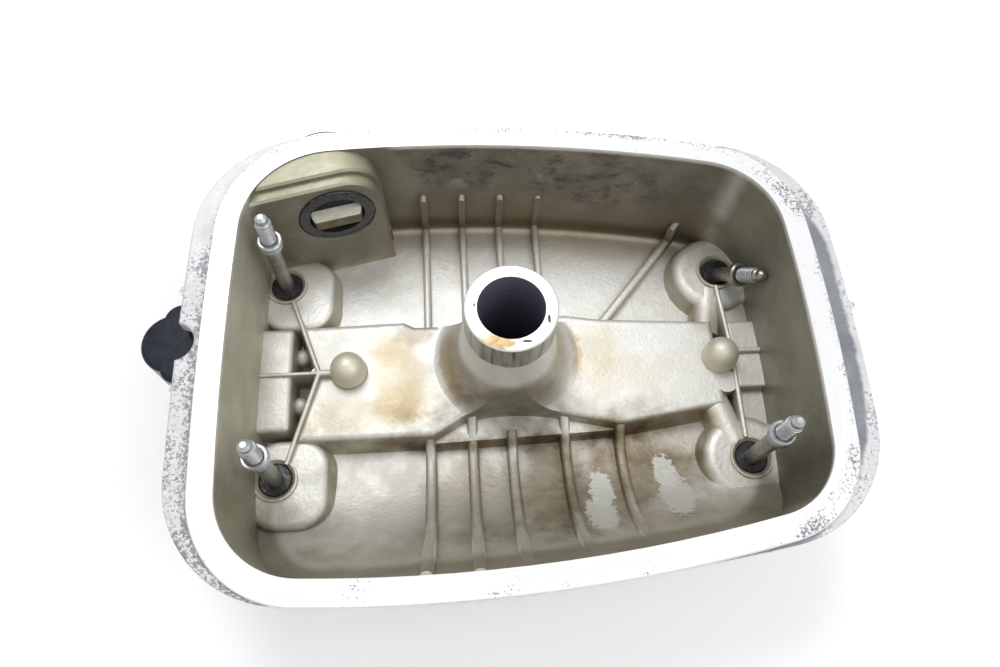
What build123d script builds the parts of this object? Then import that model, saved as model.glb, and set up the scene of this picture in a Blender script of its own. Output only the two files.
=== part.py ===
from build123d import *

import os
from math import acos, atan2, cos, hypot, radians, sin, sqrt, tan

# Cast aluminium cylinder-head cover of a flat-twin engine, with its four captive shoulder bolts, their
# washers and grommets, the oil filler plug with its key bar and seals, and the plastic plug cover.
#
# Millimetres. The origin is on the spark plug tube's axis, in the machined sealing face. +Z points out
# of the open side, towards the cylinder head; +X runs along the cover; +Y points to the filler side.

os.makedirs("parts", exist_ok=True)

# ---------------------------------------------------------------- levels below the machined sealing face
seat_level = -50.0  # tops of the bolt seats
seat_web = 4.5  # metal under a bolt seat
floor_level = -60.0  # inner floor
floor_wall = 4.5
rest_level = -81.0  # rims of the spine, on which the cover lies
band_level = -48.0  # top of the long band over the plug channel
band_wall = 4.0
lip_drop = 1.5  # the as-cast lips stand this far below the machined face
lip_depth = 8.0
flange_depth = 7.0

# ---------------------------------------------------------------- plan of the cavity at the sealing face
far_left_x = -99.4
far_left_y = 69.0
far_left_round = 35.0
far_right_x = 106.6
far_right_y = 56.5
far_right_round = 32.0
near_right_x = 105.1
near_right_y = -74.5
near_right_round = 27.0
near_left_x = -99.4
near_left_y = -88.5
near_left_round = 30.0
far_bow = 9.5  # how far each side bows out between its corners
right_bow = 3.5
near_bow = 9.0
left_bow = 2.8
seal_width = 8.8
wall = 5.0
wall_draft = 1.0  # degrees
floor_round = 4.0
feature_root = 2.0  # how deep ribs and pads are rooted in the walls
lip_reach_left = 8.2
lip_reach_right = 8.4
lip_corner = 44.0
nub_radius = 1.8  # casting nubs on the lips' edge

# ---------------------------------------------------------------- near side, swept up from the floor
sweep_radius = 50.0
sweep_start_y = -35.0
sweep_yaw = 3.9  # degrees, as the near side of the plan
sweep_top_y = -91.0

# ---------------------------------------------------------------- plug tube, band and channel
tube_outer = 17.5
tube_bore = 12.7
tube_straight = 14.0
tube_flare = 32.0
flare_trim = 0.2  # the flare runs out this far under the band's top
band_draft = 14.0  # degrees
band_round = 2.4
band_far_y = 17.0
band_near_y = -32.3
band_left_x = -85.5
band_right_x = 89.6
arch_depth = 9.5  # how far the band is cut back in front of the tube
arch_centre_x = 1.6
arch_half = 20.0
channel_far_y = 13.0
channel_near_y = -28.0
channel_right_x = 84.0
spine_wall = 4.5
spine_left_x = -103.0
spine_round = 8.0

# ---------------------------------------------------------------- ribs
near_rib_width = 4.4
near_rib_height = 4.2
near_rib_pitch = 18.7
near_rib_middle_x = 3.2
near_rib_fade = -3.0  # where they run out into the near side
far_rib_width = 3.4
far_rib_height = 3.6
far_rib_pitch = 16.9
far_rib_middle_x = -7.6
far_rib_top = -34.0  # where they fade out on the far wall
diagonal_rib_width = 4.2
far_wall_foot_y = 71.0
shelf_level = -53.5
shelf_near_y = -34.4
end_rib_width = 2.2

# ---------------------------------------------------------------- posts at the two ends of the band
post_radius = 7.2
post_top = -37.0
left_post_x = -65.4
right_post_x = 90.2
post_y = -4.0
hub_x = -78.4
end_pad_top = -46.5
end_pad_width = 18.0
end_pad_length = 42.0
end_block_top = -49.5
end_block_width = 31.0
end_block_length = 76.0

# ---------------------------------------------------------------- bolt pattern and seats
bolt_centre_x = 1.6
bolt_centre_y = -4.5
bolt_spacing_x = 190.0
bolt_spacing_y = 85.3
seat_pad_half = 15.0
seat_dome_radius = 17.5
seat_hole = 6.7
seat_ring = 8.7
seat_ring_height = 1.2
recess_radius = 9.5  # round recess under a seat, for the bolt's head and washer
recess_mouth = 17.0

# ---------------------------------------------------------------- shoulder bolts, washers and grommets
thread_radius = 3.0
thread_length = 11.5
pilot_radius = 2.3
pilot_length = 4.0
collar_radius = 5.0
collar_height = 4.0
shank_radius = 3.15
shank_length = 38.7
head_radius = 5.2
head_height = 3.4
head_socket = 5.0  # across flats
socket_depth = 2.0
washer_radius = 6.2
washer_thick = 1.2
grommet_grip = 0.05  # radial squeeze of a grommet in its hole
grommet_height = 3.2  # above the middle of the web
fit_gap = 0.08  # radial running clearance of a turning or sliding piece
raised_drop = 0.4  # gap left under a seat by a bolt that is pushed in
leaning_out = 19.7  # how far the leaning bolt has slid out, against a pushed-in one
leaning_slope_x = 0.35  # run per unit of rise
leaning_slope_y = -0.58
left_far_slope_x = 0.017
left_far_slope_y = 0.048
left_near_slope_x = 0.027
left_near_slope_y = -0.008
right_near_slope_x = -0.012
right_near_slope_y = -0.016

# ---------------------------------------------------------------- oil filler boss, plug and seals
filler_yaw = 13.0  # degrees, the boss and the plug turned about the boss's right foot
filler_x = -67.6  # these stations are those before the turn
filler_z = -21.8
boss_foot_y = 57.4
boss_front_draft = 4.0  # degrees
boss_right_x = -47.2
boss_peak_x = -73.0
boss_peak_z = -2.8
boss_left_x = -104.0
boss_left_z = -3.4
boss_corner = 15.0
boss_step = 2.2
boss_step_y = 66.0
neck_wall = 5.5
neck_mouth_y = 90.0
plug_bore = 11.2
plug_inner_y = 62.8
plug_wall = 2.6
plug_collar = 3.0  # how far the grip's disc stands over the bore
grip_thick = 3.0
grip_bar_width = 7.0
grip_bar_height = 4.0
o_ring_width = 2.0
o_ring_depth = 1.5
o_ring_inset = 4.0  # from the neck's mouth
seal_width_radial = 4.4
seal_thick = 3.3
seal_back_y = 63.2
key_length = 20.6
key_front_length = 18.6
key_taper = 3.0
key_height = 5.4
key_front_y = 57.0

# ---------------------------------------------------------------- plug cover
cover_gap = 1.3
cover_skin = 2.5
cover_side_wall = 2.0
cover_lift = 0.4  # its face lies this far inside the spine's rims
cover_post_radius = 11.4
cover_post_gap = 0.4
ring_step = 1.6
hood_top = -10.2
hood_wall = 2.5
hood_radius = 11.5
hood_x = -124.0
hood_y = -4.2
hood_far_lobe = 6.5
hood_far_lobe_y = 5.0
hood_near_lobe = 6.0
hood_near_lobe_y = -13.6
hood_lobe_x = -121.8
hood_flat_x = -108.2
notch_radius = 7.2
notch_x = -120.4
notch_y = -7.6

# ---------------------------------------------------------------- values that follow from the sizes
skin_level = floor_level - floor_wall
channel_roof = band_level - band_wall
pivot_level = seat_level - seat_web / 2
grommet_radius = seat_hole + grommet_grip
shank_bore = shank_radius + fit_gap
bolt_left_x = bolt_centre_x - bolt_spacing_x / 2
bolt_right_x = bolt_centre_x + bolt_spacing_x / 2
bolt_far_y = bolt_centre_y + bolt_spacing_y / 2
bolt_near_y = bolt_centre_y - bolt_spacing_y / 2
left_far = (bolt_left_x, bolt_far_y)
left_near = (bolt_left_x, bolt_near_y)
right_near = (bolt_right_x, bolt_near_y)
right_far = (bolt_right_x, bolt_far_y)
under_head_raised = -seat_web / 2 - washer_thick - raised_drop
arch_y = band_near_y + arch_depth
seal_outer = plug_bore + seal_width_radial + 0.2
grip_radius = plug_bore + plug_collar
o_ring_y = neck_mouth_y - o_ring_inset
plug_radius = plug_bore - fit_gap


# ================================================================ plan of the cavity, rim and lips
def plan_outline(reach_left=0.0, reach_right=0.0, reach_side=0.0, corner_round=None):
    """Four bowed sides with rounded corners; the reaches push the sides outwards."""
    far_left = (far_left_x - reach_left, far_left_y + reach_side)
    far_right = (far_right_x + reach_right, far_right_y + reach_side)
    near_right_corner = (near_right_x + reach_right, near_right_y - reach_side)
    near_left_corner = (near_left_x - reach_left, near_left_y - reach_side)
    rounds = {
        far_left: far_left_round,
        far_right: far_right_round,
        near_right_corner: near_right_round,
        near_left_corner: near_left_round,
    }
    with BuildSketch() as plan:
        with BuildLine():
            SagittaArc(far_left, far_right, far_bow)
            SagittaArc(far_right, near_right_corner, right_bow)
            SagittaArc(near_right_corner, near_left_corner, near_bow)
            SagittaArc(near_left_corner, far_left, left_bow)
        make_face()
        for point, corner_size in rounds.items():
            sharp = plan.vertices().sort_by_distance(Vector(*point))[0]
            fillet(sharp, corner_round or corner_size)
    return plan.sketch


cavity_plan = plan_outline()
lip_plan = plan_outline(
    seal_width + lip_reach_left,
    seal_width + lip_reach_right,
    seal_width - 1.0,
    lip_corner,
)

# the near side is drawn across the cover, in a plane turned by the sweep's yaw
sweep_plane = Plane(
    origin=(0, 0, 0),
    x_dir=(-sin(radians(sweep_yaw)), cos(radians(sweep_yaw)), 0),
    z_dir=(cos(radians(sweep_yaw)), sin(radians(sweep_yaw)), 0),
)


def sweep_profile(growth, low_z):
    """Region below and outside the near sweep, whose arc is moved outwards by growth."""
    radius = sweep_radius + growth
    centre_z = floor_level + sweep_radius
    top_y = sweep_top_y - growth
    outside_y = sweep_top_y - 40
    reach = hypot(top_y - sweep_start_y, centre_z)
    bearing = (atan2(-centre_z, top_y - sweep_start_y) + acos(radius / reach)) % radians(360)
    middle = (bearing + radians(270)) / 2
    start = (sweep_start_y, centre_z - radius)
    waist = (sweep_start_y + radius * cos(middle), centre_z + radius * sin(middle))
    touch = (sweep_start_y + radius * cos(bearing), centre_z + radius * sin(bearing))
    with BuildSketch(sweep_plane) as profile:
        with BuildLine():
            ThreePointArc(start, waist, touch)
            Polyline(touch, (top_y, 0), (outside_y, 0), (outside_y, low_z), (sweep_start_y, low_z), start)
        make_face()
    return profile.sketch


def cavity_block(growth):
    """The hollow of the cover; growth moves its walls and floor out into the metal."""
    with BuildPart() as hollow:
        with BuildSketch(Plane.XY.offset(growth)):
            add(cavity_plan)
            if growth:
                offset(amount=growth)
        extrude(amount=floor_level - 2 * growth, taper=wall_draft)
        fillet(hollow.faces().sort_by(Axis.Z)[0].edges(), floor_round)
        extrude(sweep_profile(growth, rest_level - 20), amount=200, both=True, mode=Mode.SUBTRACT)
    return hollow.part


# ================================================================ outside of the casting
def skirt_block():
    """Drafted outer walls and underside, following the near sweep."""
    with BuildPart() as skirt:
        with BuildSketch():
            add(cavity_plan)
            offset(amount=wall)
        extrude(amount=skin_level, taper=wall_draft)
        fillet(skirt.faces().sort_by(Axis.Z)[0].edges(), floor_round + floor_wall - 0.5)
        extrude(sweep_profile(wall, rest_level - 20), amount=200, both=True, mode=Mode.SUBTRACT)
    return skirt.part


def rim_block():
    """Machined rim flange."""
    with BuildPart() as rim:
        with BuildSketch():
            add(cavity_plan)
            offset(amount=seal_width)
        extrude(amount=-flange_depth)
        chamfer(rim.edges().group_by(Axis.Z)[-1], 0.4)
    return rim.part


def lip_block():
    """As-cast lips beyond the rim's ends, with a notch for the plug cover's hood and casting nubs."""
    nub_left_x = far_left_x - seal_width - lip_reach_left - left_bow + 0.4
    nub_right_x = near_right_x + seal_width + lip_reach_right + right_bow + 1.0
    with BuildPart() as lips:
        with BuildSketch(Plane.XY.offset(-lip_drop)):
            add(lip_plan)
            with Locations((notch_x, notch_y)):
                Circle(notch_radius, mode=Mode.SUBTRACT)
        extrude(amount=-lip_depth)
        fillet(lips.edges().group_by(Axis.Z)[-1], 0.8)
        chamfer(lips.edges().group_by(Axis.Z)[0], 1.6)
        with BuildSketch(Plane.XY.offset(-lip_drop - 1)):
            with Locations((nub_left_x, 13.0), (nub_left_x + 0.4, -25.0), (nub_right_x, -3.0)):
                Circle(nub_radius)
        extrude(amount=2 - lip_depth)
    return lips.part


def spine_block():
    """Raised spine along the underside; the plug channel is cut into it later."""
    near_y = channel_near_y - spine_wall
    far_y = channel_far_y + spine_wall
    right_x = channel_right_x + spine_wall
    with BuildPart() as spine:
        with BuildSketch(Plane.XY.offset(rest_level)):
            with Locations(((spine_left_x + right_x) / 2, (near_y + far_y) / 2)):
                RectangleRounded(right_x - spine_left_x, far_y - near_y, spine_round)
        extrude(amount=skin_level - rest_level + 2, taper=-4)
        chamfer(spine.faces().sort_by(Axis.Z)[0].edges(), 1.0)
    return spine.part


# ================================================================ band, tube and channel
arch_left = (arch_centre_x - arch_half, arch_y - 2.0)
arch_right = (arch_centre_x + arch_half, arch_y - 2.5)


def band_outline():
    """Top of the band: cut back in an arch in front of the tube, and round behind it."""
    with BuildSketch() as outline:
        with BuildLine():
            Polyline(
                (arch_left[0] - 13.0, band_near_y),
                (band_left_x, band_near_y),
                (hub_x - 0.4, post_y),
                (band_left_x, band_far_y),
                (-43.0, band_far_y + 1.0),
                (-38.5, band_far_y - 1.5),
                (-20.0, band_far_y - 1.5),
                (26.6, band_far_y + 1.5),
                (41.6, band_far_y - 1.0),
                (band_right_x, band_far_y - 4.0),
                (band_right_x, band_near_y + 8.2),
                (arch_right[0] + 23.4, band_near_y + 1.8),
                arch_right,
            )
            ThreePointArc(arch_right, (arch_centre_x, arch_y), arch_left)
            Line(arch_left, (arch_left[0] - 13.0, band_near_y))
        make_face()
        Circle(tube_outer + 3.5)
    return outline.sketch


band_plan = band_outline()


def arch_region():
    """Room for the flare: inside the band's arch and round behind it, with the band's draft."""
    half = tube_flare + 3
    far_y = band_far_y - 1.5
    root = 3.0
    height = root - tube_straight - band_level
    with BuildPart() as region:
        with BuildSketch(Plane.XY.offset(band_level - root)):
            with BuildLine():
                Polyline(
                    (arch_left[0] - 13.0, band_near_y),
                    (-half, band_near_y),
                    (-half, far_y),
                    (half, far_y),
                    (arch_right[0] + 23.4, band_near_y + 1.8),
                    arch_right,
                )
                ThreePointArc(arch_right, (arch_centre_x, arch_y), arch_left)
                Line(arch_left, (arch_left[0] - 13.0, band_near_y))
            make_face()
            offset(amount=root * tan(radians(band_draft)) - 0.15, kind=Kind.INTERSECTION)
        extrude(amount=height, taper=band_draft)
        with BuildSketch(Plane.XY.offset(band_level - root)):
            Circle(tube_outer + 4.5)
        extrude(amount=height, taper=band_draft / 2)
    return region.part


def tube_block():
    """Spark plug tube with its flared foot, which runs into the band and is cut by the arch's draft."""
    flare_z = band_level - flare_trim
    low_z = band_level - 3.0
    with BuildPart() as tube:
        with BuildSketch(Plane.XZ):
            with BuildLine():
                Polyline((0, low_z), (0, -tube_straight), (tube_outer, -tube_straight))
                EllipticalCenterArc(
                    (tube_flare, -tube_straight),
                    tube_flare - tube_outer,
                    -tube_straight - flare_z,
                    start_angle=180,
                    arc_size=90,
                )
                Polyline((tube_flare, flare_z), (tube_flare, low_z), (0, low_z))
            make_face()
        revolve(axis=Axis.Z)
        add(arch_region(), mode=Mode.INTERSECT)
        with BuildSketch():
            Circle(tube_outer)
        extrude(amount=low_z)
        chamfer(tube.faces().sort_by(Axis.Z)[-1].edges(), 0.5)
    return tube.part


def band_block():
    """Long drafted band over the channel."""
    with BuildPart() as band:
        with BuildSketch(Plane.XY.offset(band_level)):
            add(band_plan)
        extrude(amount=floor_level - band_level - feature_root, taper=-band_draft)
        fillet(band.faces().sort_by(Axis.Z)[-1].edges(), band_round)
    return band.part


def channel_hollow():
    """Trough in the spine, open at the left, and the hollow under the band."""
    left_x = spine_left_x - 20
    with BuildPart() as hollow:
        with BuildSketch(Plane.XY.offset(rest_level)):
            with Locations(((left_x + channel_right_x) / 2, (channel_near_y + channel_far_y) / 2)):
                RectangleRounded(channel_right_x - left_x, channel_far_y - channel_near_y, 4)
        extrude(amount=skin_level - rest_level)
        with BuildSketch(Plane.XY.offset(channel_roof)):
            add(band_plan)
            offset(amount=-band_wall)
            with Locations(((left_x + channel_right_x) / 2, (channel_near_y + channel_far_y) / 2)):
                Rectangle(channel_right_x - left_x, channel_far_y - channel_near_y, mode=Mode.INTERSECT)
        extrude(amount=skin_level - channel_roof)
    return hollow.part


# ================================================================ bolt seats
def seat_pad(place, far_reach, near_reach):
    """Drafted pad of a left bolt seat, longer on one side."""
    centre = (place[0] + 5, place[1] + (far_reach - near_reach) / 2)
    with BuildPart() as pad:
        with BuildSketch(Plane.XY.offset(seat_level)):
            with Locations(centre):
                RectangleRounded(2 * seat_pad_half, far_reach + near_reach, 11)
        extrude(amount=floor_level - seat_level - feature_root, taper=-band_draft)
        fillet(pad.faces().sort_by(Axis.Z)[-1].edges(), 3.0)
    return pad.part


def seat_dome(place):
    """Round drafted pad of a right bolt seat, run out to the end wall."""
    with BuildPart() as dome:
        with BuildSketch(Plane.XY.offset(seat_level)):
            with Locations((place[0] - 1, place[1])):
                Circle(seat_dome_radius)
            with Locations((place[0] + 9, place[1])):
                Rectangle(18, 1.6 * seat_dome_radius)
        extrude(amount=floor_level - seat_level - feature_root, taper=-band_draft)
        fillet(dome.faces().sort_by(Axis.Z)[-1].edges(), 5.0)
    return dome.part


def seat_ring_block(place):
    """Raised ring round a bolt hole."""
    with BuildPart() as ring:
        with BuildSketch(Plane.XY.offset(seat_level - 1)):
            with Locations(place):
                Circle(seat_ring)
        extrude(amount=seat_ring_height + 1)
    return ring.part


def seat_hole_cut(place):
    """Bolt hole with a countersunk mouth, and the conical recess under it."""
    ring_top = seat_level + seat_ring_height
    recess_top = seat_level - seat_web
    with BuildPart() as cut:
        with BuildSketch(Plane.XZ.offset(-place[1])):
            with BuildLine():
                Polyline(
                    (place[0], ring_top + 1),
                    (place[0] + seat_hole + seat_ring_height + 1, ring_top + 1),
                    (place[0] + seat_hole, seat_level),
                    (place[0] + seat_hole, recess_top),
                    (place[0] + recess_radius, recess_top),
                    (place[0] + recess_mouth, skin_level),
                    (place[0] + recess_mouth, rest_level),
                    (place[0], rest_level),
                    (place[0], ring_top + 1),
                )
            make_face()
        revolve(axis=Axis((place[0], place[1], 0), (0, 0, 1)))
    return cut.part


# ================================================================ ribs, posts and end details
def rib_between(start, end, width, top, low):
    """Straight upright rib from one plan point to another, rounded along its top."""
    run = hypot(end[0] - start[0], end[1] - start[1])
    bearing = atan2(end[1] - start[1], end[0] - start[0])
    half = width / 2
    across = Plane(
        origin=(start[0], start[1], 0),
        x_dir=(-sin(bearing), cos(bearing), 0),
        z_dir=(cos(bearing), sin(bearing), 0),
    )
    with BuildPart() as rib:
        with BuildSketch(across):
            with BuildLine():
                Polyline((-half, top - half), (-half, low), (half, low), (half, top - half))
                ThreePointArc((half, top - half), (0, top), (-half, top - half))
            make_face()
        extrude(amount=run)
    return rib.part


def near_rib(centre_x, start_y):
    """Rib that leaves the band, follows the floor and climbs the swept near side."""
    radius = sweep_radius - near_rib_height
    centre_z = floor_level + sweep_radius
    shoulder_y = band_near_y - 6.2
    knee_turn = radians(230)
    crest_turn = radians(207)
    start = (start_y, band_level - 1.6)
    foot = (shoulder_y, centre_z - sqrt(radius**2 - (shoulder_y - sweep_start_y) ** 2))
    knee = (sweep_start_y + radius * cos(knee_turn), centre_z + radius * sin(knee_turn))
    crest = (sweep_start_y + radius * cos(crest_turn), centre_z + radius * sin(crest_turn))
    fade = (sweep_top_y + 0.7, near_rib_fade)
    outside_y = sweep_top_y - 8
    low_z = floor_level - feature_root
    with BuildPart() as rib:
        with BuildSketch(Plane.YZ.offset(centre_x)) as side:
            with BuildLine():
                Line(start, foot)
                ThreePointArc(foot, knee, crest)
                Polyline(crest, fade, (outside_y, fade[1]), (outside_y, low_z), (start_y, low_z), start)
            make_face()
            fillet(side.vertices().sort_by_distance(Vector(*foot))[0], 9.0)
        extrude(amount=near_rib_width / 2, both=True)
        long_edges = rib.edges().filter_by(Axis.X, reverse=True)
        above = long_edges.filter_by(lambda edge: min(edge.position_at(0).Z, edge.position_at(1).Z) > floor_level)
        backs = above.filter_by(lambda edge: fade[0] < edge.position_at(0.5).Y < start_y - 0.01)
        fillet(backs, near_rib_width / 2 - 0.4)
    return rib.part


def rib_set():
    """All the ribs of the floor, the near sweep and the far wall."""
    low_z = floor_level - feature_root
    floor_top = floor_level + far_rib_height
    wall_width = 0.8 * far_rib_width
    wall_start_y = far_wall_foot_y - 1.6
    wall_end_y = far_wall_foot_y + 8
    short_start = band_near_y + 1.3
    long_start = arch_y - 0.5
    with BuildPart() as ribs:
        add(near_rib(near_rib_middle_x - 1.92 * near_rib_pitch, short_start))
        add(near_rib(near_rib_middle_x - near_rib_pitch, long_start))
        add(near_rib(near_rib_middle_x - 2.6, short_start))
        add(near_rib(near_rib_middle_x + 1.04 * near_rib_pitch, long_start))
        add(near_rib(near_rib_middle_x + 2.25 * near_rib_pitch, short_start))
        for place in range(4):
            centre_x = far_rib_middle_x + (place - 1.5) * far_rib_pitch
            add(rib_between((centre_x, 10), (centre_x, wall_end_y), far_rib_width, floor_top, low_z))
            add(rib_between((centre_x, wall_start_y), (centre_x, wall_end_y), wall_width, far_rib_top, low_z))
        add(rib_between((38.5, 12.0), (81.0, 61.0), diagonal_rib_width, floor_top + 1, low_z))
        add(rib_between((78.5, 58.0), (92.0, 74.0), 0.8 * diagonal_rib_width, far_rib_top - 11, low_z))
    return ribs.part


def ball_post(place, foot_level):
    """Round locating post with a ball top."""
    ball_z = post_top - post_radius
    with BuildPart() as post:
        with BuildSketch(Plane.XZ.offset(-place[1])):
            with BuildLine():
                Line((place[0], foot_level), (place[0], post_top))
                RadiusArc((place[0], post_top), (place[0] + post_radius, ball_z), post_radius)
                Line((place[0] + post_radius, ball_z), (place[0] + post_radius + 0.8, foot_level))
                Line((place[0] + post_radius + 0.8, foot_level), (place[0], foot_level))
            make_face()
        revolve(axis=Axis((place[0], place[1], 0), (0, 0, 1)))
    return post.part


def raised_pad(centre, width, length, top, edge_round):
    """Low drafted pad on the floor."""
    with BuildPart() as pad:
        with BuildSketch(Plane.XY.offset(top)):
            with Locations(centre):
                Rectangle(width, length)
        extrude(amount=floor_level - top - feature_root, taper=-5)
        fillet(pad.faces().sort_by(Axis.Z)[-1].edges(), edge_round)
    return pad.part


def left_end():
    """Pad, bumps, hub with its thin ribs and the left ball post."""
    hub = (hub_x, post_y)
    rib_top = band_level + 1.2
    low_z = floor_level - feature_root
    wall_x = near_left_x - left_bow
    with BuildPart() as ends:
        add(raised_pad((wall_x + 4.7, post_y), end_pad_width, end_pad_length, end_pad_top, 2.4))
        with Locations((hub_x - 6.8, post_y + 8.6, floor_level + 2), (hub_x - 6.8, post_y - 13.4, floor_level + 2)):
            Sphere(4.4)
        add(rib_between(hub, (bolt_left_x + 3.4, bolt_far_y - 7.8), end_rib_width, rib_top, low_z))
        add(rib_between(hub, (bolt_left_x + 3.4, bolt_near_y + 7.8), end_rib_width, rib_top, low_z))
        add(rib_between((wall_x - 1.5, post_y + 1), hub, end_rib_width, end_pad_top + 1.0, low_z))
        add(rib_between(hub, (left_post_x, post_y), end_rib_width + 0.8, rib_top, low_z))
        with Locations((hub_x, post_y, (rib_top + low_z) / 2)):
            Cylinder(end_rib_width + 0.2, rib_top - low_z)
        add(ball_post((left_post_x, post_y), band_level - 2))
    return ends.part


def right_end():
    """Right ball post, strut between the seats and stepped blocks against the end wall."""
    strut_x = right_post_x + post_radius - 1.0
    strut_top = band_level + 0.6
    low_z = floor_level - feature_root
    wall_x = far_right_x + right_bow
    centre_x = wall_x - 13.0 + end_block_width / 2
    step = end_block_length / 3
    link_width = 13.0
    link_top = band_level - 0.6
    with BuildPart() as ends:
        add(ball_post((right_post_x, post_y), floor_level - 1))
        add(rib_between((85.5, band_near_y + 14), (bolt_right_x - 4, bolt_near_y + 6), link_width, link_top, low_z))
        add(rib_between((88.0, band_far_y - 8), (bolt_right_x - 4, bolt_far_y - 8), link_width, link_top - 1, low_z))
        add(rib_between((strut_x, 1.0), (bolt_right_x - 1.6, bolt_far_y - 8.0), end_rib_width, strut_top, low_z))
        add(rib_between((strut_x, 1.0), (bolt_right_x - 1.2, bolt_near_y + 8.0), end_rib_width, strut_top, low_z))
        add(raised_pad((centre_x, post_y + 2), end_block_width, step + 5, end_block_top, 1.2))
        add(raised_pad((centre_x, post_y + 2), end_block_width - 1, end_block_length, end_block_top - 4.5, 1.2))
        add(rib_between((strut_x - 4, post_y + 3), (wall_x + 4, post_y + 3), end_rib_width, end_block_top + 2, low_z))
        with Locations((right_post_x + 1.4, post_y - 10.6, floor_level + 5.5)):
            Cylinder(5.0, 13.0)
    return ends.part


def shelf_block():
    """Low shelf in front of the band's arch."""
    left_x = arch_centre_x - 1.63 * arch_half
    right_x = arch_centre_x + 2.17 * arch_half
    with BuildPart() as shelf:
        with BuildSketch(Plane.XY.offset(shelf_level)):
            with BuildLine():
                Polyline(
                    (left_x, shelf_near_y),
                    (left_x, arch_y + 3),
                    (right_x, arch_y + 3),
                    (right_x, shelf_near_y + 2.4),
                    (left_x, shelf_near_y),
                )
            make_face()
        extrude(amount=floor_level - shelf_level - feature_root, taper=-band_draft)
    return shelf.part


# ================================================================ oil filler boss
def boss_section(front_y, lift):
    """One length of the filler boss: straight right wall, rounded shoulder, roof falling to the left."""
    face_plane = Plane(origin=(0, front_y, floor_level), x_dir=(1, 0, 0), z_dir=(0, -1, 0))
    if not lift:
        face_plane = face_plane.rotated((-boss_front_draft, 0, 0))
    peak = boss_peak_z - floor_level + lift
    left = boss_left_z - floor_level + lift
    right_x = boss_right_x + lift / 2
    wall_x = boss_left_x - 12
    with BuildPart() as section:
        with BuildSketch(face_plane) as outline:
            with BuildLine():
                Polyline(
                    (wall_x, -feature_root),
                    (right_x + 0.4, -feature_root),
                    (right_x - 1.6, peak),
                    (boss_peak_x, peak),
                    (boss_left_x, left),
                    (wall_x, left),
                    (wall_x, -feature_root),
                )
            make_face()
            fillet(outline.vertices().sort_by_distance(Vector(right_x, peak))[0], boss_corner)
            fillet(outline.vertices().sort_by_distance(Vector(boss_peak_x, peak))[0], 6.0)
        extrude(amount=-30)
        chamfer(section.faces().sort_by(Axis.Y)[0].edges(), 0.9)
    return section.part


def turned_boss(solid):
    """The solid, turned with the boss about its right foot."""
    return solid.rotate(Axis((boss_right_x, boss_foot_y, 0), (0, 0, 1)), filler_yaw)


def filler_plane(station_y):
    """Plane across the filler axis, facing the outside of the cover."""
    across = Vector(cos(radians(filler_yaw)), sin(radians(filler_yaw)), 0)
    outward = Vector(-across.Y, across.X, 0)
    foot = Vector(boss_right_x, boss_foot_y, filler_z)
    centre = foot + across * (filler_x - boss_right_x) + outward * (station_y - boss_foot_y)
    return Plane(origin=centre, x_dir=across, z_dir=outward)


def neck_cylinder(radius, start_y, end_y):
    """Cylinder on the filler axis between two stations."""
    with BuildPart() as cylinder:
        with BuildSketch(filler_plane(start_y)):
            Circle(radius)
        extrude(amount=end_y - start_y)
    return cylinder.part


def boss_core():
    """Cored pocket behind the boss's front wall, open to the underside."""
    front_y = boss_foot_y + band_wall + 1.0
    core_top = filler_z - plug_bore - neck_wall - 3.0
    with BuildPart() as core:
        with BuildSketch(Plane.XY.offset(rest_level)):
            with Locations(((boss_right_x - wall + filler_x - 14) / 2, front_y + 3.5)):
                RectangleRounded(boss_right_x - wall - filler_x + 14, 7, 3)
        extrude(amount=core_top - rest_level, taper=1)
    return core.part


# ================================================================ the casting
def inside_features():
    """Everything that stands on the floor, held inside the cavity and rooted in its walls."""
    with BuildPart() as inside:
        add(band_block())
        add(tube_block())
        add(shelf_block())
        add(rib_set())
        add(seat_pad(left_far, 13.0, 20.5))
        add(seat_pad(left_near, 15.5, 19.0))
        add(seat_dome(right_near))
        add(seat_dome(right_far))
        for place in (left_far, left_near, right_near, right_far):
            add(seat_ring_block(place))
        add(left_end())
        add(right_end())
        add(turned_boss(boss_section(boss_foot_y, 0.0)))
        add(turned_boss(boss_section(boss_step_y, boss_step)))
        add(cavity_block(feature_root), mode=Mode.INTERSECT)
    return inside.part


with BuildPart() as cover_casting:
    add(skirt_block())
    add(rim_block())
    add(lip_block())
    add(spine_block())
    add(cavity_block(0.0), mode=Mode.SUBTRACT)
    add(inside_features())
    add(neck_cylinder(plug_bore + neck_wall, boss_foot_y + 8, neck_mouth_y))
    add(channel_hollow(), mode=Mode.SUBTRACT)
    with BuildSketch(Plane.XY.offset(channel_roof - 1)):
        Circle(tube_bore)
    extrude(amount=-channel_roof + 2, mode=Mode.SUBTRACT)
    for bolt_place in (left_far, left_near, right_near, right_far):
        add(seat_hole_cut(bolt_place), mode=Mode.SUBTRACT)
    add(turned_boss(boss_core()), mode=Mode.SUBTRACT)
    add(neck_cylinder(plug_bore, boss_foot_y - 5, neck_mouth_y + 1), mode=Mode.SUBTRACT)
    add(neck_cylinder(seal_outer + 0.1, boss_foot_y - 5, seal_back_y), mode=Mode.SUBTRACT)
    add(neck_cylinder(grip_radius + 1.0, neck_mouth_y, neck_mouth_y + 40), mode=Mode.SUBTRACT)
cover_casting.part.label = "cover_casting"
export_step(cover_casting.part, "parts/cover_casting.step")


# ================================================================ shoulder bolts
def bolt_frame(place, slope_x, slope_y):
    """Plane through a bolt's axis, with its origin in the middle of the seat's web."""
    axis = Vector(slope_x, slope_y, 1).normalized()
    across = Vector(1, 0, 0).cross(axis).normalized()
    return Plane(origin=(place[0], place[1], pivot_level), x_dir=across.cross(axis), z_dir=across)


def axis_of(frame):
    """The bolt's own axis, pointing out of the cover."""
    return Axis(frame.origin, -frame.y_dir if frame.y_dir.Z < 0 else frame.y_dir)


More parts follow.
